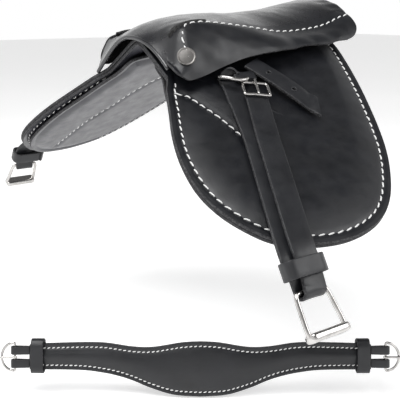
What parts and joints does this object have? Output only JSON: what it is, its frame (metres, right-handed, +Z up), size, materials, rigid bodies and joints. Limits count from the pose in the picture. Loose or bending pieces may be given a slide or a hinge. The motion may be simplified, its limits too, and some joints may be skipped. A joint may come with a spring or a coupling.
{
  "type": "toy saddle with stirrups and girth",
  "caption": "Toy-size English riding saddle in stitched black leather, with flaps, stirrup leathers and irons, and its matching contoured girth with buckles.",
  "frame": {"origin": "middle of the flat underside of the tree, in the channel between the panels, where the saddle rests on a back or a rack", "axes": "+X towards the pommel (front), +Y the rider's left, +Z up"},
  "size_m": [0.2881, 0.4374, 0.292],
  "materials": {
    "leather": "black satin leather",
    "lining": "black smooth lining leather",
    "foam": "soft foam",
    "board": "plain",
    "steel": "polished"
  },
  "bodies": {
    "root": {"tree": "board", "seat_padding": "foam", "seat_cover": "leather", "cantle_panel": "leather", "pommel_facing": "leather", "pommel_backing": "lining", "panel_L": "lining", "panel_R": "lining", "billet_L": "leather", "billet_R": "leather"},
    "flap_L": {"flap_L": "leather", "flap_backing_L": "lining", "flap_padding_L": "foam", "knee_roll_L": "foam"},
    "skirt_L": {"skirt_L": "leather", "skirt_rivet_L": "steel"},
    "leather_L": {"stirrup_leather_L": "leather", "stirrup_bar_L": "steel", "strap_tail_L": "leather", "strap_buckle_L": "steel"},
    "prong_L": {"strap_prong_L": "steel"},
    "keeper_L": {"stirrup_keeper_L": "leather"},
    "iron_L": {"stirrup_iron_L": "steel"},
    "flap_R": {"flap_R": "leather", "flap_backing_R": "lining", "flap_padding_R": "foam", "knee_roll_R": "foam"},
    "skirt_R": {"skirt_R": "leather", "skirt_rivet_R": "steel"},
    "leather_R": {"stirrup_leather_R": "leather", "stirrup_bar_R": "steel", "strap_tail_R": "leather", "strap_buckle_R": "steel"},
    "prong_R": {"strap_prong_R": "steel"},
    "keeper_R": {"stirrup_keeper_R": "leather"},
    "iron_R": {"stirrup_iron_R": "steel"},
    "girth": {"girth_cover": "leather", "girth_lining": "lining", "girth_padding": "foam", "girth_chape_front_upper": "leather", "girth_chape_front_lower": "leather", "girth_chape_rear_upper": "leather", "girth_chape_rear_lower": "leather"},
    "girth_buckle_front": {"girth_buckle_front": "steel"},
    "girth_prong_front": {"girth_prong_front": "steel"},
    "girth_keeper_front": {"girth_keeper_front": "leather"},
    "girth_buckle_rear": {"girth_buckle_rear": "steel"},
    "girth_prong_rear": {"girth_prong_rear": "steel"},
    "girth_keeper_rear": {"girth_keeper_rear": "leather"}
  },
  "joints": [
    {"name": "flap_lift_L", "type": "hinge", "parent": "root", "child": "flap_L", "pos_m": [0.00659, 0.05305, -0.00159], "axis": [0.9871, 0, -0.1599], "range_deg": [0, 40]},
    {"name": "skirt_lift_L", "type": "hinge", "parent": "root", "child": "skirt_L", "pos_m": [0, 0.052, 0.0185], "axis": [1, 0, 0], "range_deg": [0, 40]},
    {"name": "leather_swing_L", "type": "hinge", "parent": "flap_L", "child": "leather_L", "pos_m": [0.03461, 0.071, -0.01617], "axis": [0.1372, 0.5131, 0.8473], "range_deg": [-15, 15]},
    {"name": "strap_prong_lift_L", "type": "hinge", "parent": "leather_L", "child": "prong_L", "pos_m": [0.03445, 0.09355, -0.02532], "axis": [-0.9142, 0.3948, -0.091], "range_deg": [0, 40]},
    {"name": "stirrup_keeper_slide_L", "type": "slide", "parent": "leather_L", "child": "keeper_L", "axis": [0.0308, 0.5075, -0.8611], "range_m": [0, 0.003]},
    {"name": "stirrup_iron_swing_L", "type": "hinge", "parent": "leather_L", "child": "iron_L", "pos_m": [0.0842, 0.1986, -0.1182], "axis": [1, 0, 0], "range_deg": [-50, 50]},
    {"name": "flap_lift_R", "type": "hinge", "parent": "root", "child": "flap_R", "pos_m": [0.00659, -0.05305, -0.00159], "axis": [-0.9871, 0, 0.1599], "range_deg": [0, 40]},
    {"name": "skirt_lift_R", "type": "hinge", "parent": "root", "child": "skirt_R", "pos_m": [0, -0.052, 0.0185], "axis": [-1, 0, 0], "range_deg": [0, 40]},
    {"name": "leather_swing_R", "type": "hinge", "parent": "flap_R", "child": "leather_R", "pos_m": [0.03461, -0.071, -0.01617], "axis": [-0.1372, 0.5131, -0.8473], "range_deg": [-15, 15]},
    {"name": "strap_prong_lift_R", "type": "hinge", "parent": "leather_R", "child": "prong_R", "pos_m": [0.03445, -0.09355, -0.02532], "axis": [0.9142, 0.3948, 0.091], "range_deg": [0, 40]},
    {"name": "stirrup_keeper_slide_R", "type": "slide", "parent": "leather_R", "child": "keeper_R", "axis": [0.0308, -0.5075, -0.8611], "range_m": [0, 0.003]},
    {"name": "stirrup_iron_swing_R", "type": "hinge", "parent": "leather_R", "child": "iron_R", "pos_m": [0.0842, -0.1986, -0.1182], "axis": [-1, 0, 0], "range_deg": [-50, 50]},
    {"name": "girth_travel", "type": "slide", "parent": "root", "child": "girth", "axis": [-0.8089, 0.5879, 0], "range_m": [-0.03, 0.03]},
    {"name": "girth_buckle_swing_front", "type": "hinge", "parent": "girth", "child": "girth_buckle_front", "pos_m": [0.17272, -0.02051, -0.22444], "axis": [-0.1551, -0.2134, 0.9646], "range_deg": [-30, 30]},
    {"name": "girth_prong_lift_front", "type": "hinge", "parent": "girth_buckle_front", "child": "girth_prong_front", "pos_m": [0.17272, -0.02051, -0.22444], "axis": [-0.1551, -0.2134, 0.9646], "range_deg": [0, 60]},
    {"name": "girth_keeper_slide_front", "type": "slide", "parent": "girth", "child": "girth_keeper_front", "axis": [-0.8089, 0.5879, 0], "range_m": [0, 0.008]},
    {"name": "girth_buckle_swing_rear", "type": "hinge", "parent": "girth", "child": "girth_buckle_rear", "pos_m": [-0.05458, 0.1447, -0.22444], "axis": [-0.1551, -0.2134, 0.9646], "range_deg": [-30, 30]},
    {"name": "girth_prong_lift_rear", "type": "hinge", "parent": "girth_buckle_rear", "child": "girth_prong_rear", "pos_m": [-0.05458, 0.1447, -0.22444], "axis": [0.1551, 0.2134, -0.9646], "range_deg": [0, 60]},
    {"name": "girth_keeper_slide_rear", "type": "slide", "parent": "girth", "child": "girth_keeper_rear", "axis": [0.8089, -0.5879, 0], "range_m": [0, 0.008]}
  ],
  "couplings": [
    {"joint": "skirt_lift_L", "follows": "flap_lift_L", "ratio": 1},
    {"joint": "skirt_lift_R", "follows": "flap_lift_R", "ratio": 1}
  ]
}
